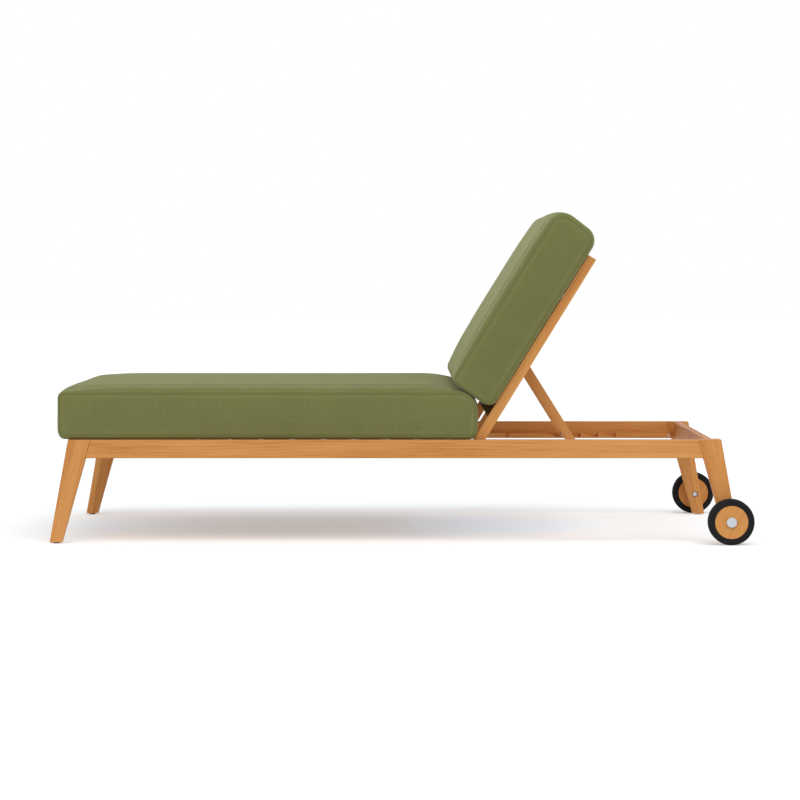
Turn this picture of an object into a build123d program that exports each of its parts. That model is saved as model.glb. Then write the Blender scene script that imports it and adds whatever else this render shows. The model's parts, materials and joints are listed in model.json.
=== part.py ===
from build123d import *
import math
import os

os.makedirs("parts", exist_ok=True)

# Wide garden lounger in solid wood: a low frame on four splayed legs, two wheels at the head end,
# a back frame that hinges on the side rails and is propped in notched racks, and two thick cushions.
# Lengths in millimetres, angles in degrees. The floor is z = 0, the foot end is at -X, the wheels and
# the head end at +X, and left means -Y, the left hand of someone who lies on the lounger.

# Frame
frame_length = 1897  # outer corner to outer corner of the leg tops
frame_width = 1200  # over the outer faces of the side rails
rail_top = 302  # top of the rails above the floor
rail_height = 54
rail_thickness = 34
rail_ease = 3  # rounded long edges of the boards
cross_rail_height = 62
cross_rail_thickness = 24
cross_rail_inset = 20.5  # from the outer corner of a leg top to the face of the cross rail

# Legs
leg_clear = 4  # wood of the foot above the floor
leg_top_width = 67
leg_foot_width = 36.5
leg_top_depth = 75
leg_foot_depth = 45
leg_splay = 54  # how far the foot stands out past the top
leg_strip = 18.5  # flat strip that the chamfer leaves on the inner face
leg_ease = 4
glide_radius = 9
rear_glide_lift = 2  # the wheels carry the head end, so its glides hang clear of the floor

# Wheels
wheel_radius = 66.5
wheel_width = 48
wheel_gap = 20  # from the leg to the wheel
axle_offset = 3  # from the middle of the foot towards the head end
tyre_thickness = 18.5
tyre_shoulder = 5
disc_recess = 2  # wood set back from the sides of the tyre
bush_wall = 3
axle_radius = 5
axle_play = 0.3
axle_head_radius = 15
axle_head_thickness = 4
axle_head_ease = 1.2
axle_nut_radius = 8
nut_faces = 6
axle_nut_thickness = 6
nut_seat_depth = 36  # from the outer face of the leg to the seat of the nut
nut_recess_radius = 9.5
spacer_radius = 11

# Ledgers, racks and seat slats
ledger_drop = 36  # from the rail top to the ledger top
ledger_lift = 4  # underside of ledgers and racks above that of the rails
ledger_thickness = 22
rack_thickness = 42
rack_start = 130  # from the hinge axis to the front end of the rack
rack_flat = 117  # plain top of the rack before the first ramp
rack_rest = 31  # plain top of the rack behind the last notch
rack_joint = 13  # space between the seat ledger and the rack
notch_pitch = 57
notch_depth = 12
notch_floor = 16
tooth_land = 4
notch_count = 4
slat_count = 11
slat_width = 66
slat_thickness = 22
slat_ease = 2
middle_rail_offset = 35  # from the hinge axis to the rear face of the middle rail
centre_beam_width = 40

# Back frame, measured along the stile from the hinge axis and square to it from the stile's middle
back_angle = 58.1  # top notch
hinge_drop = 13  # from the rail top to the hinge axis
hinge_offset = 710.6  # from the outer corner of the rear leg top to the hinge axis
stile_depth = 26
stile_flare = 3.5  # extra depth behind the stile at the hinge
stile_width = 22
stile_gap = 3  # between stile and rail
stile_length = 638
hinge_pin_radius = 5
hinge_play = 0.3
hinge_pin_bite = 22  # depth of the hinge pin in the rail
back_rail_width = 60
back_rail_start = 84
back_slat_count = 6
back_slat_width = 50
back_slat_thickness = 12
runner_end = 500
runner_ear = 28  # full depth round the hinge, before the runner drops behind the slats
runner_ramp = 14
cheek_thickness = 18
cheek_play = 0.4

# Prop
prop_angle = 58  # slope of the struts at the top notch
prop_pivot_along = 265
prop_pivot_set = 12  # behind the middle of the stile
prop_spread = 672  # middle to middle of the struts
strut_width = 23.5
strut_thickness = 22
strut_play = 0.5
strut_bolt_radius = 4
strut_bolt_head_radius = 8
strut_bolt_head_thickness = 3
bar_radius = 9
bar_lift = 1.7  # running clearance of the bar over the teeth
bar_end_play = 3

# Cushions
seat_cushion_width = 1200
seat_cushion_overhang = 29  # past the front leg top
seat_cushion_reach = 1.1  # past the hinge axis
seat_cushion_side = 139  # rail top to upper seam
seat_crown = 24
seat_low_round = 22
seat_foot_high_round = 35
seat_head_high_round = 54  # eased back to lie under the back cushion
back_cushion_start = 110
back_cushion_length = 600
back_cushion_width = 1196
back_cushion_side = 147
back_crown = 21
back_lift = 0.5  # cushion over the front of the stiles
back_foot_low_round = 30
back_foot_high_round = 62
back_head_low_round = 24
back_head_high_round = 45
plan_round = 26
side_bulge = 6
side_draw = 7  # how far the long sides pull in at their middle
swell_run = 150  # length over which the crown rises from an end
shoulder_run = 90
shoulder_share = 0.78
cushion_clear = 0.3


def outer_reach(z):
    """Distance of a leg's outer edge from the middle of the frame, at height z."""
    return frame_length / 2 + leg_splay * (rail_top - z) / (rail_top - leg_clear)


def taper(top, foot, z):
    """Size of a leg at height z, between its size at the top and at the foot."""
    return foot + (top - foot) * (z - leg_clear) / (rail_top - leg_clear)


def inner_reach(z):
    """Distance of a leg's inner edge from the middle of the frame, at height z."""
    return outer_reach(z) - taper(leg_top_width, leg_foot_width, z)


def side_plane(y, origin_x=0, origin_z=0, angle=0):
    """Upright plane along the lounger at y, its own x axis tipped up by the angle."""
    slope = math.radians(angle)
    along = (math.cos(slope), 0, math.sin(slope))
    return Plane(origin=(origin_x, y, origin_z), x_dir=along, z_dir=(0, -1, 0))


def export(builder, name):
    """Label a finished piece and write it."""
    builder.part.label = name
    export_step(builder.part, "parts/" + name + ".step")


sides = ((-1, "left"), (1, "right"))
half_width = frame_width / 2
rail_bottom = rail_top - rail_height
rail_inner = half_width - rail_thickness
ledger_top = rail_top - ledger_drop
ledger_bottom = rail_bottom + ledger_lift

# The middle of the frame stands so that feet and wheels reach equally far from the origin
foot_middle = (outer_reach(wheel_radius) + inner_reach(wheel_radius)) / 2
axle_reach = foot_middle + axle_offset
frame_middle = (outer_reach(leg_clear) - axle_reach - wheel_radius) / 2
axle_x = frame_middle + axle_reach
front_corner = frame_middle - frame_length / 2
rear_corner = frame_middle + frame_length / 2
front_face = front_corner + cross_rail_inset + cross_rail_thickness

# Hinge axis of the back
hinge_x = rear_corner - hinge_offset
hinge_z = rail_top - hinge_drop
middle_rail_rear = hinge_x - middle_rail_offset
middle_rail_front = middle_rail_rear - cross_rail_thickness
slope = math.radians(back_angle)
stile_middle = rail_inner - stile_gap - stile_width / 2
stile_inner = rail_inner - stile_gap - stile_width
slat_back = stile_depth / 2 - back_slat_thickness
runner_back = -stile_depth / 2

# Prop pivot and bar at the top notch
prop_pivot_x = hinge_x + prop_pivot_along * math.cos(slope) + prop_pivot_set * math.sin(slope)
prop_pivot_z = hinge_z + prop_pivot_along * math.sin(slope) - prop_pivot_set * math.cos(slope)
bar_z = ledger_top + bar_lift + bar_radius
strut_length = (prop_pivot_z - bar_z) / math.sin(math.radians(prop_angle))
bar_x = prop_pivot_x + strut_length * math.cos(math.radians(prop_angle))

# Legs: tapered posts that lean out lengthwise, with one broad chamfer on the inner corner


def leg_outline(z, end, side):
    width = taper(leg_top_width, leg_foot_width, z)
    depth = taper(leg_top_depth, leg_foot_depth, z)
    chamfer_slope = (leg_top_depth - rail_thickness) / (leg_top_width - leg_strip)
    cheek = depth - (width - leg_strip) * chamfer_slope
    corners = ((0, 0), (width, 0), (width, cheek), (leg_strip, depth), (0, depth))
    return [
        (frame_middle + end * (outer_reach(z) - inward), side * (half_width - across), z)
        for inward, across in corners
    ]


legs = {}
for end, end_name in ((-1, "front"), (1, "rear")):
    for side, side_name in sides:
        head = leg_outline(rail_top, end, side)
        foot = leg_outline(leg_clear, end, side)
        loops = [head, foot]
        loops += [(head[index - 1], head[index], foot[index], foot[index - 1]) for index in range(len(head))]
        with BuildPart() as leg:
            add(Solid(Shell([Face(Wire.make_polygon(loop, close=True)) for loop in loops])))
            long_edges = leg.edges().filter_by(lambda edge: edge.length > rail_top - leg_clear)
            fillet(long_edges, radius=leg_ease)
            if end == 1:
                with BuildSketch(side_plane(side * half_width)):
                    with Locations((axle_x, wheel_radius)):
                        Circle(axle_radius)
                extrude(amount=leg_top_depth, both=True, mode=Mode.SUBTRACT)
                with BuildSketch(side_plane(side * (half_width - nut_seat_depth))):
                    with Locations((axle_x, wheel_radius)):
                        Circle(nut_recess_radius)
                extrude(amount=side * leg_top_depth, mode=Mode.SUBTRACT)
        legs[end_name, side_name] = leg.part
        export(leg, "leg_" + end_name + "_" + side_name)

# Glides: a low black button under each foot
with BuildPart() as glides:
    for end, lift in ((-1, 0), (1, rear_glide_lift)):
        for side, side_name in sides:
            glide_x = frame_middle + end * (outer_reach(leg_clear) - leg_foot_width / 2)
            glide_y = side * (half_width - leg_foot_depth / 2)
            with BuildSketch(Plane.XY.offset(lift)):
                with Locations((glide_x, glide_y)):
                    Circle(glide_radius)
            extrude(amount=leg_clear - lift)
export(glides, "leg_glides")

# Side rails: boards cut at the ends to the slope of the legs, with a blind hole for the hinge pin
for side, side_name in sides:
    with BuildPart() as rail:
        with BuildSketch(side_plane(side * (half_width - rail_thickness / 2))):
            with BuildLine():
                Polyline(
                    (frame_middle - inner_reach(rail_top), rail_top),
                    (frame_middle + inner_reach(rail_top), rail_top),
                    (frame_middle + inner_reach(rail_bottom), rail_bottom),
                    (frame_middle - inner_reach(rail_bottom), rail_bottom),
                    close=True,
                )
            make_face()
        extrude(amount=rail_thickness / 2, both=True)
        fillet(rail.edges().filter_by(Axis.X), radius=rail_ease)
        with BuildSketch(side_plane(side * rail_inner)):
            with Locations((hinge_x, hinge_z)):
                Circle(hinge_pin_radius)
        extrude(amount=-side * hinge_pin_bite, mode=Mode.SUBTRACT)
    export(rail, "side_rail_" + side_name)

# Cross rails: their ends are coped to the chamfers of the legs
for end, end_name in ((-1, "front"), (1, "rear")):
    with BuildPart() as cross_rail:
        outer_face = frame_middle + end * (frame_length / 2 - cross_rail_inset)
        with BuildSketch(Plane.XY.offset(rail_top - cross_rail_height)):
            with Locations((outer_face - end * cross_rail_thickness / 2, 0)):
                Rectangle(cross_rail_thickness, 2 * rail_inner)
        extrude(amount=cross_rail_height)
        fillet(cross_rail.edges().filter_by(Axis.Y), radius=rail_ease)
        for side, side_name in sides:
            add(legs[end_name, side_name], mode=Mode.SUBTRACT)
    export(cross_rail, end_name + "_cross_rail")

with BuildPart() as middle_rail:
    with BuildSketch(Plane.XY.offset(ledger_top)):
        with Locations(((middle_rail_front + middle_rail_rear) / 2, 0)):
            Rectangle(cross_rail_thickness, 2 * rail_inner)
    extrude(amount=ledger_drop)
    fillet(middle_rail.edges().filter_by(Axis.Y).group_by(Axis.Z)[-1], radius=rail_ease)
export(middle_rail, "middle_cross_rail")

# Ledgers and notched racks, screwed to the inner sides of the rails
first_wall = bar_x + bar_radius + strut_play
rack_front = hinge_x + rack_start
rack_rear = first_wall + (notch_count - 1) * notch_pitch + rack_rest


def inner_strip(outline, thickness, side, name):
    """Strip on the inner face of a side rail."""
    with BuildPart() as strip:
        with BuildSketch(side_plane(side * (rail_inner - thickness / 2))):
            with BuildLine():
                Polyline(*outline, close=True)
            make_face()
        extrude(amount=thickness / 2, both=True)
    export(strip, name)


def rack_outline():
    """Plain top, then ramps down towards the head end that each stop at an upright wall."""
    floor = ledger_top - notch_depth
    points = [(rack_front, ledger_bottom), (rack_front, ledger_top), (rack_front + rack_flat, ledger_top)]
    for index in range(notch_count):
        wall = first_wall + index * notch_pitch
        points += [(wall - notch_floor, floor), (wall, floor), (wall, ledger_top)]
        if index < notch_count - 1:
            points.append((wall + tooth_land, ledger_top))
    return points + [(rack_rear, ledger_top), (rack_rear, ledger_bottom)]


seat_ledger_outline = [
    (frame_middle - inner_reach(ledger_top), ledger_top),
    (rack_front - rack_joint, ledger_top),
    (rack_front - rack_joint, ledger_bottom),
    (frame_middle - inner_reach(ledger_bottom), ledger_bottom),
]
rear_ledger_outline = [
    (rack_rear, ledger_top),
    (frame_middle + inner_reach(ledger_top), ledger_top),
    (frame_middle + inner_reach(ledger_bottom), ledger_bottom),
    (rack_rear, ledger_bottom),
]
for side, side_name in sides:
    inner_strip(seat_ledger_outline, ledger_thickness, side, "seat_ledger_" + side_name)
    inner_strip(rear_ledger_outline, ledger_thickness, side, "rear_ledger_" + side_name)
    inner_strip(rack_outline(), rack_thickness, side, "notched_rack_" + side_name)

# Centre beam under the slats
with BuildPart() as centre_beam:
    with BuildSketch(Plane.XY.offset(ledger_bottom)):
        with Locations(((front_face + middle_rail_rear) / 2, 0)):
            Rectangle(middle_rail_rear - front_face, centre_beam_width)
    extrude(amount=ledger_top - ledger_bottom)
export(centre_beam, "centre_beam")

# Seat slats, spaced evenly between the front and middle rails
slat_gap = (middle_rail_front - front_face - slat_count * slat_width) / (slat_count + 1)
for index in range(slat_count):
    slat_middle = front_face + slat_gap + slat_width / 2 + index * (slat_width + slat_gap)
    with BuildPart() as slat:
        with BuildSketch(Plane.XY.offset(ledger_top)):
            with Locations((slat_middle, 0)):
                Rectangle(slat_width, 2 * rail_inner)
        extrude(amount=slat_thickness)
        chamfer(slat.edges().filter_by(Axis.Y).group_by(Axis.Z)[-1], length=slat_ease)
    export(slat, "seat_slat_" + str(index + 1))

# Hinge: two blind pins in the rails, and a third through two cheeks on the middle rail
with BuildPart() as cheeks:
    for side, side_name in sides:
        cheek_middle = stile_width / 2 + cheek_play + cheek_thickness / 2
        with BuildSketch(side_plane(side * cheek_middle)):
            with BuildLine():
                Polyline(
                    (hinge_x, hinge_z + hinge_drop),
                    (middle_rail_rear, hinge_z + hinge_drop),
                    (middle_rail_rear, hinge_z - hinge_drop),
                    (hinge_x, hinge_z - hinge_drop),
                )
                ThreePointArc(
                    (hinge_x, hinge_z - hinge_drop),
                    (hinge_x + hinge_drop, hinge_z),
                    (hinge_x, hinge_z + hinge_drop),
                )
            make_face()
            with Locations((hinge_x, hinge_z)):
                Circle(hinge_pin_radius, mode=Mode.SUBTRACT)
        extrude(amount=cheek_thickness / 2, both=True)
export(cheeks, "hinge_cheeks")

with BuildPart() as hinge_pins:
    with BuildSketch(side_plane(0, hinge_x, hinge_z)):
        Circle(hinge_pin_radius)
    extrude(amount=stile_width / 2 + cheek_play + cheek_thickness, both=True)
    for side, side_name in sides:
        with BuildSketch(side_plane(side * (rail_inner + hinge_pin_bite), hinge_x, hinge_z)):
            Circle(hinge_pin_radius)
        extrude(amount=side * (hinge_pin_bite + stile_gap + stile_width))
export(hinge_pins, "hinge_pins")

# Wheels: rubber tyre on a wooden disc with a steel bush, turning on a bolt through the leg


def ring_section(inner, outer, length):
    """Half section of a ring, in the plane of the axle."""
    with Locations(((inner + outer) / 2, 0)):
        Rectangle(outer - inner, length)


def wheel_plane(y):
    return Plane(origin=(axle_x, y, wheel_radius), x_dir=(1, 0, 0), z_dir=(0, 0, 1))


wheel_axis = Axis((axle_x, 0, wheel_radius), (0, 1, 0))
bush_inner = axle_radius + axle_play
disc_radius = wheel_radius - tyre_thickness
for side, side_name in sides:
    wheel_middle = wheel_plane(side * (half_width + wheel_gap + wheel_width / 2))
    with BuildPart() as tyre:
        with BuildSketch(wheel_middle) as tyre_section:
            ring_section(disc_radius, wheel_radius, wheel_width)
            chamfer(tyre_section.vertices().group_by(Axis.X)[-1], length=tyre_shoulder)
        revolve(axis=wheel_axis)
    export(tyre, "tyre_" + side_name)
    with BuildPart() as disc:
        with BuildSketch(wheel_middle):
            ring_section(bush_inner + bush_wall, disc_radius, wheel_width - 2 * disc_recess)
        revolve(axis=wheel_axis)
    export(disc, "wheel_disc_" + side_name)
    with BuildPart() as bush:
        with BuildSketch(wheel_middle):
            ring_section(bush_inner, bush_inner + bush_wall, wheel_width)
        revolve(axis=wheel_axis)
    export(bush, "wheel_bush_" + side_name)

    head_seat = half_width + wheel_gap + wheel_width + axle_play
    shank_length = head_seat - (half_width - nut_seat_depth - axle_nut_thickness)
    with BuildPart() as axle:
        with BuildSketch(side_plane(side * head_seat, axle_x, wheel_radius)):
            Circle(axle_radius)
        extrude(amount=side * shank_length)
        with BuildSketch(side_plane(side * head_seat, axle_x, wheel_radius)):
            Circle(axle_head_radius)
        extrude(amount=-side * axle_head_thickness)
        chamfer(axle.edges().sort_by(Axis.Y)[0 if side < 0 else -1], length=axle_head_ease)
    export(axle, "axle_bolt_" + side_name)

with BuildPart() as spacers:
    for side, side_name in sides:
        with BuildSketch(side_plane(side * half_width, axle_x, wheel_radius)):
            Circle(spacer_radius)
            Circle(axle_radius, mode=Mode.SUBTRACT)
        extrude(amount=-side * (wheel_gap - axle_play))
export(spacers, "axle_spacers")

with BuildPart() as nuts:
    for side, side_name in sides:
        with BuildSketch(side_plane(side * (half_width - nut_seat_depth), axle_x, wheel_radius)):
            RegularPolygon(axle_nut_radius, nut_faces)
            Circle(axle_radius, mode=Mode.SUBTRACT)
        extrude(amount=side * axle_nut_thickness)
export(nuts, "axle_nuts")

# Back frame, drawn in the plane of its stiles and raised to the top notch


def back_plane(y):
    return side_plane(y, hinge_x, hinge_z, back_angle)


for side, side_name in sides:
    with BuildPart() as stile:
        with BuildSketch(back_plane(side * stile_middle)):
            with BuildLine():
                Polyline(
                    (0, -stile_depth / 2 - stile_flare),
                    (stile_length, -stile_depth / 2),
                    (stile_length, stile_depth / 2),
                    (0, stile_depth / 2),
                )
                ThreePointArc(
                    (0, stile_depth / 2),
                    (-(stile_depth + stile_flare) / 2, -stile_flare / 2),
                    (0, -stile_depth / 2 - stile_flare),
                )
            make_face()
            Circle(hinge_pin_radius + hinge_play, mode=Mode.SUBTRACT)
        extrude(amount=stile_width / 2, both=True)
    export(stile, "back_stile_" + side_name)


def back_board(start, stop, low, high, span, name):
    """Straight board of the back frame: its range along the stile, its depth, and its span across."""
    with BuildPart() as board:
        with BuildSketch(back_plane(0)):
            with Locations(((start + stop) / 2, (low + high) / 2)):
                Rectangle(stop - start, high - low)
        extrude(amount=span / 2, both=True)
    export(board, name)


slats_start = back_rail_start + back_rail_width
slats_stop = stile_length - back_rail_width
for start, name in ((back_rail_start, "back_bottom_rail"), (slats_stop, "back_top_rail")):
    back_board(start, start + back_rail_width, -stile_depth / 2, stile_depth / 2, 2 * stile_inner, name)
back_slat_gap = (slats_stop - slats_start - back_slat_count * back_slat_width) / (back_slat_count + 1)
for index in range(back_slat_count):
    start = slats_start + back_slat_gap + index * (back_slat_width + back_slat_gap)
    name = "back_slat_" + str(index + 1)
    back_board(start, start + back_slat_width, slat_back, stile_depth / 2, 2 * stile_inner, name)

# Centre runner: behind the slats, with a full-depth ear round the hinge pin
with BuildPart() as centre_runner:
    with BuildSketch(back_plane(0)):
        with BuildLine():
            Polyline(
                (0, -stile_depth / 2),
                (runner_ear, runner_back),
                (runner_end, runner_back),
                (runner_end, slat_back),
                (runner_ear + runner_ramp, slat_back),
                (runner_ear, stile_depth / 2),
                (0, stile_depth / 2),
            )
            ThreePointArc((0, stile_depth / 2), (-stile_depth / 2, 0), (0, -stile_depth / 2))
        make_face()
        Circle(hinge_pin_radius + hinge_play, mode=Mode.SUBTRACT)
        with Locations(((back_rail_start + slats_start) / 2, 0)):
            Rectangle(back_rail_width, stile_depth, mode=Mode.SUBTRACT)
    extrude(amount=stile_width / 2, both=True)
export(centre_runner, "back_centre_runner")

# Strut runners: they carry the slats, and the pivots of the prop in a round ear
runner_middle = prop_spread / 2 + strut_thickness / 2 + strut_play + stile_width / 2
for side, side_name in sides:
    with BuildPart() as strut_runner:
        with BuildSketch(back_plane(side * runner_middle)):
            with Locations(((slats_start + runner_end) / 2, (slat_back + runner_back) / 2)):
                Rectangle(runner_end - slats_start, slat_back - runner_back)
            with Locations((prop_pivot_along, -prop_pivot_set)):
                Circle(strut_width / 2)
                Circle(strut_bolt_radius, mode=Mode.SUBTRACT)
        extrude(amount=stile_width / 2, both=True)
    export(strut_runner, "back_strut_runner_" + side_name)

with BuildPart() as strut_bolts:
    strut_inner = prop_spread / 2 - strut_thickness / 2 - strut_play
    bolt_length = strut_thickness + 2 * strut_play + stile_width
    for side, side_name in sides:
        with BuildSketch(side_plane(side * strut_inner, prop_pivot_x, prop_pivot_z)):
            Circle(strut_bolt_radius)
        extrude(amount=-side * bolt_length)
        with BuildSketch(side_plane(side * strut_inner, prop_pivot_x, prop_pivot_z)):
            Circle(strut_bolt_head_radius)
        extrude(amount=side * strut_bolt_head_thickness)
export(strut_bolts, "strut_bolts")

# Prop: two struts on the back frame, joined near their feet by the bar that drops into the racks
for side, side_name in sides:
    with BuildPart() as strut:
        with BuildSketch(side_plane(side * prop_spread / 2, prop_pivot_x, prop_pivot_z, -prop_angle)):
            with Locations((strut_length / 2, 0)):
                SlotCenterToCenter(strut_length, strut_width)
            Circle(strut_bolt_radius + hinge_play, mode=Mode.SUBTRACT)
            with Locations((strut_length, 0)):
                Circle(bar_radius, mode=Mode.SUBTRACT)
        extrude(amount=strut_thickness / 2, both=True)
    export(strut, "prop_strut_" + side_name)

with BuildPart() as bar:
    with BuildSketch(side_plane(0, bar_x, bar_z)):
        Circle(bar_radius)
    extrude(amount=stile_inner - bar_end_play, both=True)
export(bar, "prop_bar")

# Cushions: boxed, with a crown, rounded ends and long sides that pull in between the corners


def corner_loss(distance, radius):
    """How far a rounded corner lies inside its square one, at a distance from the end."""
    if distance >= radius:
        return 0
    return radius - math.sqrt(radius**2 - (radius - distance) ** 2)


def cushion_outline(side_reach, low, high, crown, sag):
    """Lines of a section across a cushion: belly, bulged sides, soft shoulders and crowned top."""
    seam_reach = side_reach - side_bulge
    shoulder_reach = seam_reach - shoulder_run
    shoulder = high + shoulder_share * crown
    rise = high + crown * shoulder_share * shoulder_share
    belly_reach = rail_inner - stile_gap - stile_width
    Line((-seam_reach, low), (-belly_reach, low))
    ThreePointArc((-belly_reach, low), (0, low - sag), (belly_reach, low))
    Line((belly_reach, low), (seam_reach, low))
    ThreePointArc((seam_reach, low), (side_reach, (low + high) / 2), (seam_reach, high))
    ThreePointArc((seam_reach, high), (seam_reach - shoulder_run / 2, rise), (shoulder_reach, shoulder))
    ThreePointArc((shoulder_reach, shoulder), (0, high + crown), (-shoulder_reach, shoulder))
    ThreePointArc((-shoulder_reach, shoulder), (shoulder_run / 2 - seam_reach, rise), (-seam_reach, high))
    ThreePointArc((-seam_reach, high), (-side_reach, (low + high) / 2), (-seam_reach, low))


def swell_at(distance, swell):
    """Crown at a distance from where it starts to rise, never quite flat."""
    share = min(max(distance / swell_run, 0), 1)
    return swell * max(1 - (1 - share) ** 2, flat_share)


def cushion_stations(length):
    """Places of the sections along a cushion, close together at its rounded ends."""
    near = [swell_run * share for share in end_shares]
    middle = [length * share for share in middle_shares]
    return near + middle + [length - place for place in reversed(near)]


end_shares = (0, 0.03, 0.1, 0.22, 0.5, 1)
middle_shares = (0.35, 0.5, 0.65)
flat_share = 0.02
seat_start = front_corner - seat_cushion_overhang
seat_cushion_length = hinge_x + seat_cushion_reach - seat_start
seat_belly = ledger_drop - slat_thickness
with BuildPart() as seat_cushion:
    for place in cushion_stations(seat_cushion_length):
        distance = min(place, seat_cushion_length - place)
        at_foot = place < seat_cushion_length / 2
        high_round = seat_foot_high_round if at_foot else seat_head_high_round
        crown = swell_at(distance if at_foot else distance - high_round, seat_crown)
        drawn = side_draw * math.sin(math.pi * place / seat_cushion_length)
        reach = seat_cushion_width / 2 - corner_loss(distance, plan_round) - drawn
        low = rail_top + cushion_clear + corner_loss(distance, seat_low_round)
        high = rail_top + seat_cushion_side - corner_loss(distance, high_round)
        belly = seat_belly * (1 if distance >= swell_run else flat_share)
        with BuildSketch(Plane(origin=(seat_start + place, 0, 0), x_dir=(0, 1, 0), z_dir=(1, 0, 0))):
            with BuildLine():
                cushion_outline(reach, low, high, crown, belly)
            make_face()
    loft(ruled=True)
export(seat_cushion, "seat_cushion")

with BuildPart() as back_cushion:
    for place in cushion_stations(back_cushion_length):
        distance = min(place, back_cushion_length - place)
        at_foot = place < back_cushion_length / 2
        low_round = back_foot_low_round if at_foot else back_head_low_round
        high_round = back_foot_high_round if at_foot else back_head_high_round
        drawn = side_draw * math.sin(math.pi * place / back_cushion_length)
        reach = back_cushion_width / 2 - corner_loss(distance, plan_round) - drawn
        front = stile_depth / 2 + back_lift
        low = front + corner_loss(distance, low_round)
        high = front + back_cushion_side - corner_loss(distance, high_round)
        along = back_cushion_start + place
        middle = (hinge_x + along * math.cos(slope), 0, hinge_z + along * math.sin(slope))
        upwards = (math.cos(slope), 0, math.sin(slope))
        with BuildSketch(Plane(origin=middle, x_dir=(0, 1, 0), z_dir=upwards)):
            with BuildLine():
                cushion_outline(reach, low, high, swell_at(distance, back_crown), flat_share * back_lift)
            make_face()
    loft(ruled=True)
export(back_cushion, "back_cushion")
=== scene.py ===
import json
import math

import bmesh
import bpy
import numpy as np
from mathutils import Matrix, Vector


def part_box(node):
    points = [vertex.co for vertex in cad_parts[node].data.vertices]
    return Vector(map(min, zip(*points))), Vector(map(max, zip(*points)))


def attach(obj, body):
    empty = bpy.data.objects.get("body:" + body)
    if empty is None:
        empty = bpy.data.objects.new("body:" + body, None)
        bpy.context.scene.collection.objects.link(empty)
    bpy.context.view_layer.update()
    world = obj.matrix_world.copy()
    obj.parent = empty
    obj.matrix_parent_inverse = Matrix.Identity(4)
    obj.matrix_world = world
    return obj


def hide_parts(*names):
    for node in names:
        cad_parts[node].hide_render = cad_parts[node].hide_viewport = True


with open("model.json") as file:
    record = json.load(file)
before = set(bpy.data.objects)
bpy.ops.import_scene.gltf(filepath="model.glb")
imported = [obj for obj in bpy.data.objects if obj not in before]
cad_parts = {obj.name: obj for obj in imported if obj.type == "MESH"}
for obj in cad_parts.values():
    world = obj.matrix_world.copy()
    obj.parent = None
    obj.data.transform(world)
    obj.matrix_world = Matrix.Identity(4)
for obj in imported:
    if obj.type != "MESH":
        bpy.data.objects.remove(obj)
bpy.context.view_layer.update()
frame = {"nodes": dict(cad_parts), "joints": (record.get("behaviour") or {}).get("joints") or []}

# Wide garden lounger in oiled hardwood with two thick boxed cushions. Lengths in metres, angles in degrees.
# The foot end is at -X, the wheels and the head end at +X, and left means -Y, the side that the camera sees.


# Ground: a plain pale floor. To the eye it is white but for a soft shadow, and it sends some light of its own
# up to the underside, as the wide white floor of a studio does.
def linear(red, green, blue):
    """Screen colour, 0 to 255 a channel, as the linear colour that a shader takes."""
    share = np.array((red, green, blue)) / 255
    value = np.where(share <= 0.04045, share / 12.92, ((share + 0.055) / 1.055) ** 2.4)
    return (*value, 1)


class Shade:
    """A value in a material's or the world's node tree. Arithmetic on it adds Math nodes."""

    def __init__(self, tree, socket=None):
        self.tree = tree
        self.socket = socket

    def node(self, kind, settings=None, inputs=None, output=0):
        """Add a node: its settings are set first, then its sockets get values or links."""
        made = self.tree.nodes.new(kind)
        for name, value in (settings or {}).items():
            if name == "stops":
                while len(made.color_ramp.elements) < len(value):
                    made.color_ramp.elements.new(1)
                for element, (position, colour) in zip(made.color_ramp.elements, value):
                    element.position = position
                    element.color = colour
            else:
                setattr(made, name, value)
        for name, value in (inputs or {}).items():
            if isinstance(value, Shade):
                self.tree.links.new(value.socket, made.inputs[name])
            else:
                made.inputs[name].default_value = value
        return Shade(self.tree, made.outputs[output] if len(made.outputs) else None)

    def other(self, output):
        """Another output of the node that this value comes from."""
        return Shade(self.tree, self.socket.node.outputs[output])

    def maths(self, operation, *values):
        return self.node("ShaderNodeMath", {"operation": operation}, dict(enumerate(values)))

    def __add__(self, other):
        return self.maths("ADD", self, other)

    def __sub__(self, other):
        return self.maths("SUBTRACT", self, other)

    def __rsub__(self, other):
        return self.maths("SUBTRACT", other, self)

    def __mul__(self, other):
        return self.maths("MULTIPLY", self, other)

    def __pow__(self, other):
        return self.maths("POWER", self, other)

    __radd__ = __add__
    __rmul__ = __mul__

    def between(self, low, high):
        """0 below low, 1 above high, and smooth in between."""
        settings = {"interpolation_type": "SMOOTHSTEP"}
        return self.node("ShaderNodeMapRange", settings, {0: self, 1: low, 2: high})

    def noise(self, x, y, z, detail=2.0, roughness=0.5):
        """Noise about 0, mostly within -0.25 to 0.25, of a place that is already scaled."""
        place = self.node("ShaderNodeCombineXYZ", None, {0: x, 1: y, 2: z})
        inputs = {"Vector": place, "Scale": 1.0, "Detail": detail, "Roughness": roughness}
        return self.node("ShaderNodeTexNoise", {"noise_dimensions": "3D"}, inputs) - 0.5

    def mix(self, share, first, second):
        """Colour that goes from the first to the second as the share goes from 0 to 1."""
        return self.node("ShaderNodeMix", {"data_type": "RGBA"}, {0: share, 6: first, 7: second}, 2)

    def looked_at(self):
        """1 for rays of the eye, of a gloss and through glass, and 0 for light that bounces about."""
        path = self.node("ShaderNodeLightPath", output="Is Camera Ray")
        rays = path + path.other("Is Glossy Ray") + path.other("Is Transmission Ray")
        return self.maths("MINIMUM", rays, 1.0)


def new_material(name):
    """Material with an empty node tree, and the first Shade of it."""
    material = bpy.data.materials.new(name)
    material.use_nodes = True
    material.node_tree.nodes.clear()
    return material, Shade(material.node_tree)


def placed(name, data):
    """Object that holds a mesh, a lamp or the camera, linked to the scene."""
    piece = bpy.data.objects.new(name, data)
    bpy.context.scene.collection.objects.link(piece)
    return piece


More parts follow.
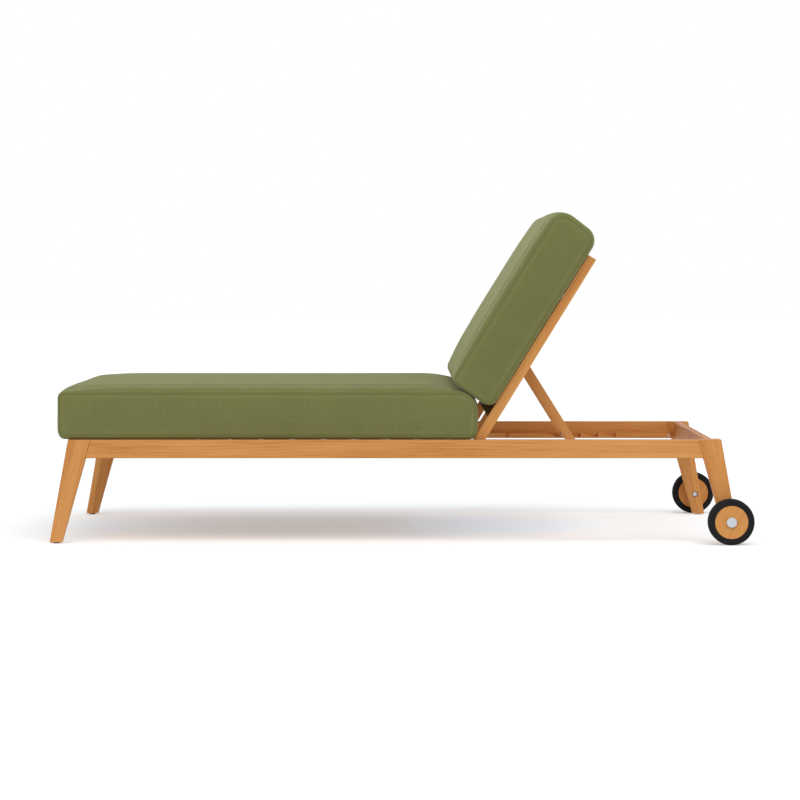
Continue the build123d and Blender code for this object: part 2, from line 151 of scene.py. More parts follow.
ground_material, ground = new_material("ground")
seen = ground.looked_at()
# Light that comes off the wood is warm, so the floor's seen colour is painted cooler in an oval under the
# lounger, where its shadow falls: a painted tint of the shadow
floor_place = ground.node("ShaderNodeTexCoord", output="Object")
floor_x = ground.node("ShaderNodeSeparateXYZ", None, {0: floor_place})
off_x, off_y = floor_x + 0.2, floor_x.other(1) - 0.1
# Mask of the painted cool tint: the oval under the lounger where the shadow falls
under = 1 - (off_x * off_x + 2.6 * off_y * off_y).between(0.1, 0.9)
seen_colour = ground.mix(under, (1.20, 1.27, 1.31, 1), (0.97, 1.32, 1.70, 1))
ground_colour = ground.mix(seen, (0.84, 0.81, 0.77, 1), seen_colour)
matt = ground.node("ShaderNodeBsdfDiffuse", None, {"Color": ground_colour})
glow_strength = seen * 0.4 + 1.15
glow = ground.node("ShaderNodeEmission", None, {"Color": (1, 1, 1, 1), "Strength": glow_strength})
sheet = ground.node("ShaderNodeMixShader", None, {0: 0.2, 1: matt, 2: glow})
ground.node("ShaderNodeOutputMaterial", None, {"Surface": sheet})
ground_mesh = bpy.data.meshes.new("ground")
reach = 40
corners = [(-reach, -reach, 0), (reach, -reach, 0), (reach, reach, 0), (-reach, reach, 0)]
ground_mesh.from_pydata(corners, [], [(0, 1, 2, 3)])
ground_mesh.materials.append(ground_material)
ground_piece = placed("ground", ground_mesh)

# Daylight: an even white sky, one broad soft lamp high in front and a little to the right, so the shadow
# falls behind the near legs, and a weak one low in front, far to the left. The sky that the eye and the
# metal see is white.
world = bpy.data.worlds.new("sky")
bpy.context.scene.world = world
world.use_nodes = True
world.node_tree.nodes.clear()
sky = Shade(world.node_tree)
sky_share = 0.48
strength = sky.looked_at() * (1 - sky_share) + sky_share
backdrop = sky.node("ShaderNodeBackground", None, {"Color": (1, 1, 1, 1), "Strength": strength})
sky.node("ShaderNodeOutputWorld", None, {"Surface": backdrop})
lamps = (("high_lamp", 1.12, 48, 50, 16), ("low_lamp", 0.55, 70, 15, -45))
for name, energy, width, height, turn in lamps:
    lamp = bpy.data.lights.new(name, "SUN")
    lamp.energy = energy
    lamp.angle = math.radians(width)
    lamp_piece = placed(name, lamp)
    lamp_piece.rotation_euler = (math.radians(90 - height), 0, math.radians(turn))

# Camera: square to the long side, 10.4 m off and 0.8 m up, tilted down a little. Its focal length and the
# row of the horizon are in pixels of a picture that is 800 wide.
picture_width, horizon_row, focal_pixels = 800, 267, 3389
camera = bpy.data.cameras.new("camera")
camera.sensor_width = 36
camera.lens = focal_pixels / picture_width * camera.sensor_width
camera.clip_end = 100
camera_piece = placed("camera", camera)
camera_piece.location = (0.0002, -10.42, 0.8029)
pitch = math.degrees(math.atan((picture_width / 2 - horizon_row) / focal_pixels))
camera_piece.rotation_euler = (math.radians(90 - pitch), 0, math.radians(0.0163))
bpy.context.scene.camera = camera_piece
bpy.context.scene.view_settings.view_transform = "Standard"


# Legs: tapered hardwood posts, sawn from one plank each so that the grain runs down the lean, rubbed
# with oil. Light straw to honey brown, with fine straight streaks and short dark pores.
def coat(node, material):
    """Give a CAD node its material."""
    for spot in frame["nodes"][node].material_slots:
        spot.material = material


def board(node, grain, face, tone=0.0):
    """Oiled hardwood for one CAD board. The grain runs along the first direction. Rings are circles about a
    pith beside the board, pulled about by slow noise, and streaks and pores are noise drawn out along the
    grain."""
    grain = np.array(grain, float) / np.linalg.norm(grain)
    face = np.array(face, float) - np.dot(face, grain) * grain
    face = face / np.linalg.norm(face)
    thick = np.cross(grain, face)
    seed = sum(ord(letter) * (index + 7) for index, letter in enumerate(node))
    chance = np.random.default_rng(seed)
    middle = sum(np.array(corner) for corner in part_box(node)) / 2
    shift = chance.uniform(-20, 20, 3)
    pith = chance.uniform(0.05, 0.11, 2) * chance.choice((-1, 1), 2)

    material, wood = new_material("wood_" + node)
    place = wood.node("ShaderNodeTexCoord", output="Object")
    run, wide, deep = (
        wood.node("ShaderNodeVectorMath", {"operation": "DOT_PRODUCT"}, {0: place, 1: tuple(axis)}, 1)
        - float(np.dot(axis, middle))
        for axis in (grain, face, thick)
    )
    sway = wood.noise(run * 1.6 + shift[0], wide * 7 + shift[1], deep * 7, 1.0)
    across = wide - float(pith[0])
    through = deep - float(pith[1])
    drift = run * float(chance.uniform(-0.012, 0.012))
    radius = (across * across + through * through) ** 0.5 + sway * 0.03 + drift
    ring_width = 0.0065
    ring = wood.maths("SINE", radius * (2 * math.pi / ring_width))
    band = wood.noise(run * 2.2 + shift[1], wide * 38 + shift[2], deep * 38, 2.0)
    streak = wood.noise(run * 7 + shift[2], wide * 210, deep * 210 + shift[0], 3.0, 0.6)
    fibre = wood.noise(run * 30, wide * 900 + shift[0], deep * 900, 2.0)
    pore = wood.noise(run * 75 + shift[1], wide * 1900, deep * 1900 + shift[2], 1.0).between(0.13, 0.24)
    shade = 0.5 + tone + float(chance.uniform(-0.05, 0.05))
    level = shade + ring * 0.07 + band * 0.85 + streak * 0.8 + fibre * 0.25
    stops = (
        (0.08, linear(176, 106, 48)),
        (0.36, linear(202, 133, 66)),
        (0.55, linear(212, 147, 77)),
        (0.92, linear(222, 163, 94)),
    )
    tint = wood.node("ShaderNodeValToRGB", {"stops": stops}, {0: level})
    tint = wood.mix(pore * 0.45, tint, linear(140, 80, 38))
    height = fibre + streak * 0.5 - pore * 0.5
    bump = wood.node("ShaderNodeBump", None, {"Strength": 0.35, "Distance": 0.0004, "Height": height})
    inputs = {"Base Color": tint, "Roughness": 0.5 + streak * 0.2 + pore * 0.12, "Normal": bump}
    oiled = {"IOR": 1.45, "Specular IOR Level": 0.4}
    surface = wood.node("ShaderNodeBsdfPrincipled", None, {**inputs, **oiled})
    wood.node("ShaderNodeOutputMaterial", None, {"Surface": surface})
    coat(node, material)


leg_lean = 69.25 / 298  # sideways over down, along the middle of a leg
for end, end_name in ((-1, "front"), (1, "rear")):
    for side_name in ("left", "right"):
        # The right legs, the far ones under the seat, are painted a lighter tone: painted light standing in
        # for fill light
        tone = 0.02 if side_name == "left" else 0.14
        board("leg_" + end_name + "_" + side_name, (end * leg_lean, 0, -1), (1, 0, 0), tone)

# Side rails and cross rails: straight planed boards between the legs, grain along their length, glued
# and doweled into the legs, with the middle rail for the hinge let in under the cushion.
for side_name in ("left", "right"):
    board("side_rail_" + side_name, (1, 0, 0), (0, 0, 1))
for name in ("front_cross_rail", "rear_cross_rail", "middle_cross_rail"):
    # The cross rails are painted a darker tone: painted shade for their inner faces, which are seen in shade
    board(name, (0, 1, 0), (0, 0, 1), -0.15)


# Hinge: two wooden cheeks on the middle rail, and brushed steel pins in the cheeks and in blind holes of
# the side rails. The same steel is used for the bolts of the prop and for the bushes, spacers and nuts of
# the wheels.
def metal(name, colour, roughness, grain):
    """Steel with fine brush lines: noise as fine along each direction as its grain says, so the lines run
    where that is low."""
    material, steel = new_material(name)
    place = steel.node("ShaderNodeTexCoord", output="Object")
    x = steel.node("ShaderNodeSeparateXYZ", None, {0: place})
    y, z = x.other(1), x.other(2)
    line = steel.noise(x * grain[0], y * grain[1], z * grain[2], 3.0)
    cloud = steel.noise(x * 60, y * 60, z * 60, 2.0)
    tint = steel.mix(cloud + 0.5, linear(*(0.9 * value for value in colour)), linear(*colour))
    bump = steel.node("ShaderNodeBump", None, {"Strength": 0.2, "Distance": 0.0002, "Height": line})
    inputs = {"Base Color": tint, "Roughness": roughness + line * 0.3 + cloud * 0.15, "Normal": bump}
    surface = steel.node("ShaderNodeBsdfPrincipled", None, {**inputs, "Metallic": 1.0})
    steel.node("ShaderNodeOutputMaterial", None, {"Surface": surface})
    return material


board("hinge_cheeks", (1, 0, 0), (0, 0, 1), -0.05)
pin_steel = metal("steel_pins", (196, 200, 206), 0.38, (2500, 60, 2500))
for name in ("hinge_pins", "strut_bolts", "axle_spacers", "axle_nuts"):
    coat(name, pin_steel)
for side_name in ("left", "right"):
    coat("wheel_bush_" + side_name, pin_steel)


# Ledgers, racks and centre beam: strips screwed along the inner faces of the rails. The racks carry the
# notches for the prop bar, and the beam holds the slats up in the middle. The screws are flat-headed.
def join(name, patches, material):
    """Piece from patches: each is a grid of points, a grid of pattern places in metres, and if it is sewn a
    grid of distances from the seam. Patches that touch are merged, and the closed shell's faces are turned
    outwards."""
    points, faces, places, seams, count = [], [], [], [], 0
    for grid, pattern, *sewn in patches:
        rows, columns = grid.shape[:2]
        index = np.arange(rows * columns).reshape(rows, columns) + count
        quads = np.stack((index[:-1, :-1], index[1:, :-1], index[1:, 1:], index[:-1, 1:]), axis=-1)
        quads = quads.reshape(-1, 4)
        points.append(grid.reshape(-1, 3))
        places.append(pattern.reshape(-1, 2)[quads.ravel() - count])
        seams.append(sewn[0].ravel() if sewn else np.zeros(rows * columns))
        faces.append(quads)
        count += rows * columns
    mesh = bpy.data.meshes.new(name)
    mesh.from_pydata(np.concatenate(points).tolist(), [], np.concatenate(faces).tolist())
    weave = mesh.uv_layers.new(name="weave")
    weave.uv.foreach_set("vector", np.concatenate(places).astype(np.float32).ravel())
    seam = mesh.attributes.new("seam", "FLOAT", "POINT")
    seam.data.foreach_set("value", np.concatenate(seams).astype(np.float32))
    shell = bmesh.new()
    shell.from_mesh(mesh)
    bmesh.ops.remove_doubles(shell, verts=shell.verts, dist=0.00002)
    bmesh.ops.dissolve_degenerate(shell, edges=shell.edges, dist=0.000001)
    bmesh.ops.recalc_face_normals(shell, faces=shell.faces)
    shell.to_mesh(mesh)
    shell.free()
    mesh.shade_smooth()
    mesh.materials.append(material)
    return placed(name, mesh)


def screw_head(centre, facing, turn, radius):
    """Flat screw head with a cross slot. A square grid a, b becomes a disc with x = a sqrt(1 - b b / 2) and
    the like. The disc is a little domed, its middle row and column are pressed in, and a skirt goes down into
    the wood."""
    facing = np.array(facing, float)
    first = np.cross(facing, (math.sin(turn), 0, math.cos(turn)))
    first = first / np.linalg.norm(first)
    second = np.cross(facing, first)
    a, b = np.meshgrid(np.linspace(-1, 1, 9), np.linspace(-1, 1, 9), indexing="ij")
    x, y = a * np.sqrt(1 - b * b / 2), b * np.sqrt(1 - a * a / 2)
    slot = (np.minimum(abs(a), abs(b)) < 0.1) & (np.maximum(abs(a), abs(b)) < 0.6)
    top = 0.0004 - 0.0002 * (x * x + y * y) - 0.0009 * slot

    def lay(across, along, out):
        flat = radius * (across[..., None] * first + along[..., None] * second)
        return np.array(centre) + flat + out[..., None] * facing

    number = np.arange(81).reshape(9, 9)
    rim = np.concatenate((number[0], number[1:, -1], number[-1, -2::-1], number[-2::-1, 0]))
    rim_x, rim_y = np.tile(x.ravel()[rim], (2, 1)), np.tile(y.ravel()[rim], (2, 1))
    foot = np.full_like(x, -0.0006)
    skirt = np.stack((top.ravel()[rim], foot.ravel()[rim]))
    pattern = np.stack((x, y), axis=-1) * radius
    rim_pattern = np.stack((rim_x, rim_y), axis=-1) * radius
    discs = [(lay(x, y, top), pattern), (lay(x, y, foot), pattern)]
    return discs + [(lay(rim_x, rim_y, skirt), rim_pattern)]


for side_name in ("left", "right"):
    for name in ("seat_ledger_", "rear_ledger_", "notched_rack_"):
        board(name + side_name, (1, 0, 0), (0, 0, 1), -0.06)
board("centre_beam", (1, 0, 0), (0, 1, 0), -0.06)
screw_steel = metal("steel_screws", (206, 206, 202), 0.35, (900, 900, 900))
screw_places = {"seat_ledger_": (0.05, 0.26, 0.52, 0.78, 1.04), "rear_ledger_": (0.142,)}
head_radius = 0.0038
heads = []
for side, side_name in ((-1, "left"), (1, "right")):
    for name, places in screw_places.items():
        lowest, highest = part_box(name + side_name)
        inner = highest[1] if side < 0 else lowest[1]
        for index, place in enumerate(places):
            centre = (lowest[0] + place, inner, (lowest[2] + highest[2]) / 2 - 0.001)
            heads += screw_head(centre, (0, -side, 0), 0.7 * index + side, head_radius)
screws = join("ledger_screws", heads, screw_steel)
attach(screws, "frame")

# Seat slats: eleven planks laid across the ledgers and the beam
for index in range(11):
    board("seat_slat_" + str(index + 1), (0, 1, 0), (1, 0, 0), -0.02)

# Glides: low black plastic buttons nailed under the feet
glide_material, glide = new_material("glide")
place = glide.node("ShaderNodeTexCoord", output="Object")
grit = glide.node("ShaderNodeTexNoise", None, {"Vector": place, "Scale": 900.0, "Detail": 2.0})
bump = glide.node("ShaderNodeBump", None, {"Strength": 0.2, "Distance": 0.0002, "Height": grit})
tint = glide.mix(grit, linear(22, 22, 22), linear(44, 43, 42))
inputs = {"Base Color": tint, "Roughness": grit * 0.3 + 0.4, "Normal": bump}
surface = glide.node("ShaderNodeBsdfPrincipled", None, inputs)
glide.node("ShaderNodeOutputMaterial", None, {"Surface": surface})
coat("leg_glides", glide_material)


# Wheels: a turned hardwood disc with a steel bush, and a solid black rubber tyre with a ribbed tread
# pressed over it. A bolt with a wide flat cap runs through disc and leg to a sunk nut.
def turned(profile, centre, steps):
    """Patch of a profile, in radius and distance along Y, carried round the axle through the centre."""
    profile = np.array(profile, float)
    angle = np.linspace(0, 2 * np.pi, steps + 1)[None, :]
    radius, along = profile[:, 0:1], profile[:, 1:2]
    grid = np.stack((radius * np.cos(angle), along + 0 * angle, radius * np.sin(angle)), axis=-1)
    grid = grid + np.array(centre)
    grid[:, -1] = grid[:, 0]
    length = np.cumsum(np.hypot(*np.diff(profile, axis=0, prepend=profile[:1]).T))[:, None]
    return grid, np.stack((angle * 0.06 + 0 * radius, length + 0 * angle), axis=-1)


rubber_material, rubber = new_material("rubber")
place = rubber.node("ShaderNodeTexCoord", output="Object")
grit = rubber.node("ShaderNodeTexNoise", None, {"Vector": place, "Scale": 1400.0, "Detail": 2.0})
cloud = rubber.node("ShaderNodeTexNoise", None, {"Vector": place, "Scale": 45.0, "Detail": 3.0})
dust = cloud.between(0.4, 0.75)
tint = rubber.mix(dust, linear(11, 11, 12), linear(20, 20, 20))
bump = rubber.node("ShaderNodeBump", None, {"Strength": 0.3, "Distance": 0.0003, "Height": grit})
inputs = {"Base Color": tint, "Roughness": dust * 0.12 + 0.74, "Normal": bump}
surface = rubber.node("ShaderNodeBsdfPrincipled", None, {**inputs, "Specular IOR Level": 0.25})
rubber.node("ShaderNodeOutputMaterial", None, {"Surface": surface})
cap_steel = metal("steel_cap", (204, 207, 210), 0.42, (1400, 200, 90))
rubber_depth, shoulder_round, rib_height = 0.0185, 0.006, 0.0013
for side_name in ("left", "right"):
    lowest, highest = (np.array(corner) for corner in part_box("tyre_" + side_name))
    centre = (lowest + highest) / 2
    outer, half_width = (highest[2] - lowest[2]) / 2, (highest[1] - lowest[1]) / 2
    inner = outer - rubber_depth
    turn = np.radians(np.arange(0, 91, 15))
    # Half of the section from the disc out: a rounded lip, one fine line round the wall, shoulder and ribs
    wall = [(inner, half_width - 0.0015), (inner + 0.0015, half_width), (inner + 0.004, half_width)]
    wall += [(inner + 0.005, half_width - 0.0006), (inner + 0.006, half_width)]
    shoulder = np.stack((np.sin(turn), np.cos(turn)), axis=-1) * shoulder_round
    shoulder = shoulder + (outer - shoulder_round, half_width - shoulder_round)
    ribs = []
    for groove in (0.0115, 0.0):
        ribs += [(outer, groove + 0.0022), (outer - rib_height, groove + 0.0012)]
        ribs += [(outer - rib_height, groove - 0.0012), (outer, groove - 0.0022)]
    half = wall + shoulder.tolist() + ribs[:6]
    profile = half + [(radius, -along) for radius, along in reversed(half)]
    tyre = join("tyre_cover_" + side_name, [turned(profile + profile[:1], centre, 96)], rubber_material)
    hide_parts("tyre_" + side_name)
    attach(tyre, "wheel_" + side_name)
    board("wheel_disc_" + side_name, (0.55, 0, 0.83), (0, 1, 0), 0.0)
    coat("axle_bolt_" + side_name, cap_steel)

# Back frame: two stiles, two rails, six thin slats and three runners, all straight boards, hinged at the
# foot of the stiles and set at the top notch.
back_angle = math.radians(58.1)
up_back = np.array((math.cos(back_angle), 0, math.sin(back_angle)))
out_back = np.array((-math.sin(back_angle), 0, math.cos(back_angle)))
for side_name in ("left", "right"):
    board("back_stile_" + side_name, up_back, out_back, 0.0)
    board("back_strut_runner_" + side_name, up_back, out_back, -0.05)
board("back_centre_runner", up_back, out_back, -0.05)
for name in ("back_bottom_rail", "back_top_rail"):
    board(name, (0, 1, 0), up_back, -0.02)
for index in range(6):
    board("back_slat_" + str(index + 1), (0, 1, 0), up_back, -0.03)

# Prop: two struts with rounded ends on steel bolts, joined at their feet by the round bar that drops
# into the notches.
prop_angle = math.radians(58)
for side_name in ("left", "right"):
    # The struts are painted a lighter tone: painted light standing in for fill light that reaches them inside
    # the frame
    board("prop_strut_" + side_name, (math.cos(prop_angle), 0, -math.sin(prop_angle)), (0, 1, 0), 0.12)
board("prop_bar", (0, 1, 0), (1, 0, 0), -0.06)


# Seat cushion: one block of firm foam in a green woven cover. The cover has a panel on each long side,
# seamed all round to one strip that wraps top, ends and underside. The top is crowned, the side
# panels are full, and the long sides draw in a little between the ends.
def spread(reach, steps, power=1.6):
    """Distances from an edge to the middle, the reach times the share to a power, so they are close at the
    edge."""
    return reach * (np.arange(steps + 1) / steps) ** power


def both_ways(half, full):
    """Places from 0 to the full length, with the same steps in from both ends."""
    return np.concatenate((half, full - half[-2::-1]))


def rounded(u, w, seam, radii):
    """Square elevation with its corners drawn round. A point that lies at inset m in a corner of radius r
    goes to the circle of radius r - m, at the same share of the way round. Gives place and outward
    direction."""
    low_u, high_u, low_w, high_w = seam
    gaps = np.stack((u - low_u, high_u - u, w - low_w, high_w - w))
    facing = np.array(((-1.0, 0.0), (1.0, 0.0), (0.0, -1.0), (0.0, 1.0)))[np.argmin(gaps, axis=0)]
    place = np.stack((u, w), axis=-1)
    for (end, level), radius in radii.items():
        gap_u = gaps[0 if end < 0 else 1]
        gap_w = gaps[2 if level < 0 else 3]
        inset = np.minimum(gap_u, gap_w)
        share = (np.maximum(gap_u, gap_w) - inset) / np.maximum(radius - inset, 1e-9)
        angle = np.pi / 4 * (1 - np.clip(share, 0, 1))
        on_end = gap_u <= gap_w
        cos_u = np.where(on_end, np.cos(angle), np.sin(angle))
        cos_w = np.where(on_end, np.sin(angle), np.cos(angle))
        corner_u = low_u if end < 0 else high_u
        corner_w = low_w if level < 0 else high_w
        new_u = corner_u - end * radius + end * (radius - inset) * cos_u
        new_w = corner_w - level * radius + level * (radius - inset) * cos_w
        inside = ((gap_u < radius) & (gap_w < radius))[..., None]
        place = np.where(inside, np.stack((new_u, new_w), axis=-1), place)
        facing = np.where(inside, np.stack((end * cos_u, level * cos_w), axis=-1), facing)
    return place, facing


def eased(share):
    """Rise from 0 to 1 that starts steep and ends level: 1 - (1 - share) squared, held at both ends."""
    return 1 - (1 - np.clip(share, 0, 1)) ** 2


def cushion_patches(seam, radii, reach, grow, dome, puff, crown, bulge, draw, roll, lean):
    """Six patches of a cushion in its own frame: u along it, y across and w through it. The strip leaves the
    seam in a quarter round of the roll's depth, grows past it on every face, domes at the ends and follows
    the crown on top. Underneath, it comes down a little more to where it rests, and the upper head corner is
    puffed out in the middle. The side panels bulge. The long sides draw in by a sine, and the lean moves u
    with w. The last grid of each patch is the way along the cover from the seam."""
    low_u, high_u, low_w, high_w = seam
    length, height = high_u - low_u, high_w - low_w
    along = low_u + both_ways(spread(length / 2, 44), length)
    up = low_w + both_ways(spread(height / 2, 8, 1.45), height)
    turn = np.radians(np.linspace(0, 90, 9))
    edge = np.concatenate((roll * (1 - np.cos(turn)), roll + spread(reach - roll, 40, 1.35)[1:]))
    inward = both_ways(edge, 2 * reach)
    seam_depth, settling = 0.001, 0.025

    def narrow(u, away):
        """How far a point is drawn in: most in the middle of the length and at the side."""
        return draw * np.sin(np.pi * np.clip((u - low_u) / length, 0, 1)) * (1 - np.clip(away / reach, 0, 1))

    def strip(u, w, off):
        """Strip at the square place u, w and the distance off from the left seam."""
        side = np.where(off <= reach, -1.0, 1.0)
        away = np.minimum(off, 2 * reach - off)
        place, facing = rounded(u, w, seam, radii)
        place_u, place_w = place[..., 0], place[..., 1]
        out_u, out_w = facing[..., 0], facing[..., 1]
        rolled = np.sqrt(np.clip(1 - (1 - np.clip(away / roll, 0, 1)) ** 2, 0, 1))
        domed = np.sin(np.pi * (place_w - low_w) / height) * (1 - (1 - away / reach) ** 4)
        at_foot = grow["foot"] + dome["foot"] * domed
        at_head = grow["head"] + dome["head"] * domed
        under = grow["low"] + grow["rest"] * eased((away - roll) / settling)
        end_grow = np.where(out_u < 0, at_foot, at_head)
        flat_grow = np.where(out_w < 0, under, grow["high"])
        pinch = np.where(away < 1e-9, seam_depth, 0.0)
        in_corner = (np.maximum(out_u, 0) * np.maximum(out_w, 0)) ** 2
        corner = puff * 4 * in_corner * (1 - (1 - away / reach) ** 3)
        new_u = place_u + out_u * (end_grow * rolled - pinch + corner)
        new_w = place_w + out_w * (flat_grow * rolled - pinch + corner)
        new_w = new_w + np.maximum(out_w, 0) * crown(place_u, away / reach)
        y = side * (reach - away - narrow(place_u, away) - pinch * 0.6)
        path = np.hypot(away, (abs(out_u) * end_grow + abs(out_w) * flat_grow) * rolled)
        grid = np.stack((new_u + lean(new_u, new_w), y, new_w), axis=-1)
        return grid, np.stack((u + w, off), axis=-1), path

    def panel(u, w, side):
        """Side panel at the square place u, w."""
        place, facing = rounded(u, w, seam, radii)
        inset = np.minimum.reduce((u - low_u, high_u - u, w - low_w, high_w - w))
        pinch = np.where(inset < 1e-9, seam_depth, 0.0)
        new_u = place[..., 0] - pinch * facing[..., 0]
        new_w = place[..., 1] - pinch * facing[..., 1]
        full = bulge * eased(inset * 2 / height)
        y = side * (reach + full - narrow(place[..., 0], 0 * u) - pinch * 0.6)
        grid = np.stack((new_u + lean(new_u, new_w), y, new_w), axis=-1)
        return grid, np.stack((u, w), axis=-1), inset

    patches = []
    for level in (low_w, high_w):
        u, off = np.meshgrid(along, inward, indexing="ij")
        patches.append(strip(u, np.full_like(u, level), off))
    for end in (low_u, high_u):
        w, off = np.meshgrid(up, inward, indexing="ij")
        patches.append(strip(np.full_like(w, end), w, off))
    for side in (-1, 1):
        u, w = np.meshgrid(along, up, indexing="ij")
        patches.append(panel(u, w, side))
    return patches


def cloth(name, base, light, seed):
    """Plain weave in two close greens: threads 1.3 mm apart each way, slubs as noise drawn out along each
    thread. The groove of its seams has painted shade, and a painted highlight lies where the cover is
    rolled beside them."""
    material, weave = new_material(name)
    place = weave.node("ShaderNodeUVMap", {"uv_map": "weave"})
    across = weave.node("ShaderNodeSeparateXYZ", None, {0: place})
    along = across.other(1)
    thread = math.pi / 0.0013
    over = weave.maths("SINE", across * thread) * weave.maths("SINE", along * thread)
    slub_a = weave.noise(across * 11 + seed, along * 520, 0.0, 2.0)
    slub_b = weave.noise(across * 520, along * 11 + seed, 7.0, 2.0)
    spot = weave.node("ShaderNodeTexCoord", output="Object")
    cloud = weave.node("ShaderNodeTexNoise", None, {"Vector": spot, "Scale": 5.0, "Detail": 3.0})
    seam = weave.node("ShaderNodeAttribute", {"attribute_name": "seam"}, None, "Fac")
    # Painted shade along the groove of the seams, and a painted highlight on the cover rolled beside them
    groove = 1 - seam.between(0.0005, 0.0026)
    rolled_highlight = seam.between(0.002, 0.006) * (1 - seam.between(0.009, 0.02))
    level = 0.5 + slub_a * 0.5 + slub_b * 0.5 + over * 0.12 + (cloud - 0.5) * 0.4 + rolled_highlight * 0.14
    tint = weave.mix(level.between(0.0, 1.0), base, light)
    tint = weave.mix(groove * 0.2, tint, linear(70, 74, 40))
    height = over * 0.5 + slub_a + slub_b
    bump = weave.node("ShaderNodeBump", None, {"Strength": 0.35, "Distance": 0.0005, "Height": height})
    inputs = {"Base Color": tint, "Roughness": 0.82 - over * 0.05 + slub_a * 0.1, "Normal": bump}
    sheen = {"Sheen Weight": 0.68, "Sheen Roughness": 0.4, "Sheen Tint": linear(200, 202, 158)}
    surface = weave.node("ShaderNodeBsdfPrincipled", None, {**inputs, **sheen, "Specular IOR Level": 0.25})
    weave.node("ShaderNodeOutputMaterial", None, {"Surface": surface})
    return material


def stuffed(pad, held, room):
    """Cover blown up by an even pressure for twenty frames while the held points and the seams stay put. Each
    point keeps its outward move, drawn in to room * tanh(move / room), so the cover swells softly and never
    past the room that its place has."""
    mesh = pad.data
    start = np.empty(len(mesh.vertices) * 3, np.float32)
    outward = np.empty(len(mesh.vertices) * 3, np.float32)
    seam = np.empty(len(mesh.vertices), np.float32)
    mesh.vertices.foreach_get("co", start)
    mesh.vertex_normals.foreach_get("vector", outward)
    mesh.attributes["seam"].data.foreach_get("value", seam)
    start, outward = start.reshape(-1, 3), outward.reshape(-1, 3)
    group = pad.vertex_groups.new(name="held")
    group.add(np.nonzero(held(start) | (seam < 1e-6))[0].tolist(), 1.0, "REPLACE")
    cover = pad.modifiers.new("cover", "CLOTH")
    cover.settings.vertex_group_mass = "held"
    cover.settings.mass = 0.02
    cover.settings.use_pressure = True
    cover.settings.uniform_pressure_force = 4
    cover.settings.effector_weights.gravity = 0
    for step in range(1, 21):
        bpy.context.scene.frame_set(step)
    blown = pad.evaluated_get(bpy.context.evaluated_depsgraph_get()).to_mesh()
    finish = np.empty(len(mesh.vertices) * 3, np.float32)
    blown.vertices.foreach_get("co", finish)
    move = np.maximum(((finish.reshape(-1, 3) - start) * outward).sum(axis=1), 0)
    pad.modifiers.remove(cover)
    pad.vertex_groups.remove(group)
    bpy.context.scene.frame_set(1)
    most = np.maximum(room(start), 1e-6)
    kept = start + outward * (most * np.tanh(move / most))[:, None]
    mesh.vertices.foreach_set("co", kept.astype(np.float32).ravel())
    mesh.update()


swell, most_swell = 0.0045, 0.005  # what the cloth pass adds to a crown, and the most that it may


def seat_crown(u, away):
    """Crown of the seat: half of it at the foot end, rising over 200 mm, and down under the back
    cushion. It rises steeply from the long sides to a nearly level top. The cloth pass adds its swell to the
    middle."""
    from_foot = 0.5 + 0.5 * eased((u - seat_seam[0]) / 0.2)
    from_head = eased((0.19 - u) / 0.13)
    height = 0.0207
    height = height - swell * (0.7 + 0.3 * eased((u - seat_seam[0]) / 0.3))
    power = 4 + 22 * eased((u - seat_seam[0]) / 0.15)
    return height * from_foot * from_head * (1 - (1 - np.clip(away, 0, 1)) ** power)


green_cloth = cloth("green_cloth", linear(101, 103, 56), linear(125, 128, 77), 3.0)
seat_low, seat_high = (np.array(corner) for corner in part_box("seat_cushion"))
seat_seam = (seat_low[0] + 0.0052, seat_high[0] - 0.0045, 0.3140, 0.4355)
seat_patches = cushion_patches(
    seam=seat_seam,
    radii={(-1, -1): 0.014, (-1, 1): 0.012, (1, -1): 0.016, (1, 1): 0.049},
    reach=0.594,
    grow={"foot": 0.0075, "head": 0.0065, "low": 0.0116, "high": 0.0055, "rest": 0.0002},
    dome={"foot": 0.001, "head": 0.0085},
    puff=0.0,
    crown=seat_crown,
    bulge=0.006,
    draw=0.007,
    roll=0.017,
    lean=lambda u, w: 0 * u,
)
seat_pad = join("seat_pad", seat_patches, green_cloth)
stuffed(
    seat_pad,
    held=lambda point: point[:, 2] < 0.308,
    room=lambda point: most_swell * np.clip((0.19 - point[:, 0]) / 0.08, 0, 1),
)
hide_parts("seat_cushion")
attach(seat_pad, "frame")


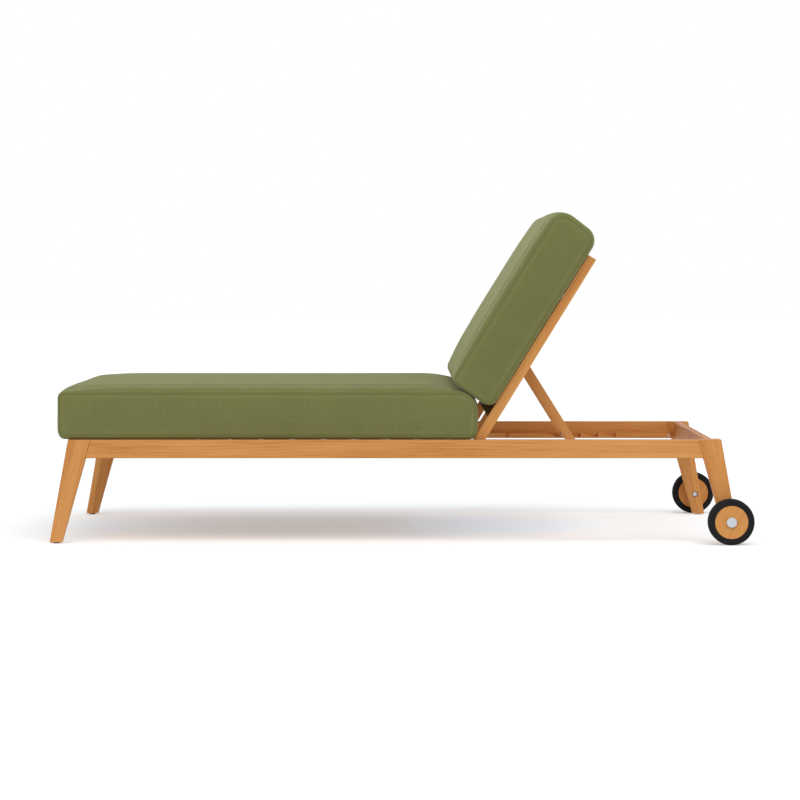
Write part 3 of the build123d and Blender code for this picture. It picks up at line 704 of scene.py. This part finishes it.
# Back cushion: made as the seat cushion is, with rounder ends, and leaning on the slats of the back. Both
# ends slant, so that each front edge lies a little further up the back than its rear edge.
def back_crown(u, away):
    """Crown of the back cushion: a seventh of it at the foot end, rising over 260 mm, falling over the last
    200 mm, and steep from the sides. The cloth pass adds its swell to the middle."""
    ends = (0.15 + 0.85 * eased((u - 0.124) / 0.26)) * eased((0.73 - u) / 0.2)
    height = 0.0165
    height = height - swell * eased((u - 0.13) / 0.2)
    return height * ends * (1 - (1 - np.clip(away, 0, 1)) ** 26)


def back_lean(u, w):
    """Shift of u with w: at the head 0.1 of what w is over 90 mm, and at the foot 0.05 of what it is over
    50 mm."""
    at_head = np.clip((u - 0.5) / 0.2, 0, 1)
    at_foot = np.clip((0.3 - u) / 0.18, 0, 1)
    head_share = at_head * at_head * (3 - 2 * at_head)
    foot_share = at_foot * at_foot * (3 - 2 * at_foot)
    return 0.1 * (w - 0.09) * head_share + 0.05 * (w - 0.05) * foot_share


back_patches = cushion_patches(
    seam=(0.117, 0.6935, 0.0265, 0.154),
    radii={(-1, -1): 0.023, (-1, 1): 0.015, (1, -1): 0.026, (1, 1): 0.042},
    reach=0.592,
    grow={"foot": 0.007, "head": 0.013, "low": 0.010, "high": 0.0065, "rest": 0.0030},
    dome={"foot": 0.0008, "head": 0.004},
    puff=0.006,
    crown=back_crown,
    bulge=0.006,
    draw=0.007,
    roll=0.016,
    lean=back_lean,
)
hinge = np.array(next(joint["pos_m"] for joint in frame["joints"] if joint["name"] == "back_hinge"))
across_back = np.array((0, 1, 0))
leaning_patches = [
    (hinge + grid @ np.stack((up_back, across_back, out_back)), *rest) for grid, *rest in back_patches
]
back_pad = join("back_pad", leaning_patches, green_cloth)
stuffed(
    back_pad,
    held=lambda point: (point - hinge) @ out_back < 0.0185,
    room=lambda point: most_swell * np.clip(((point - hinge) @ up_back - 0.12) / 0.1, 0, 1),
)
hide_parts("back_cushion")
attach(back_pad, "back")
for pad in (seat_pad, back_pad):
    smooth = pad.modifiers.new("smooth", "SUBSURF")
    smooth.levels = 1
    smooth.render_levels = 1
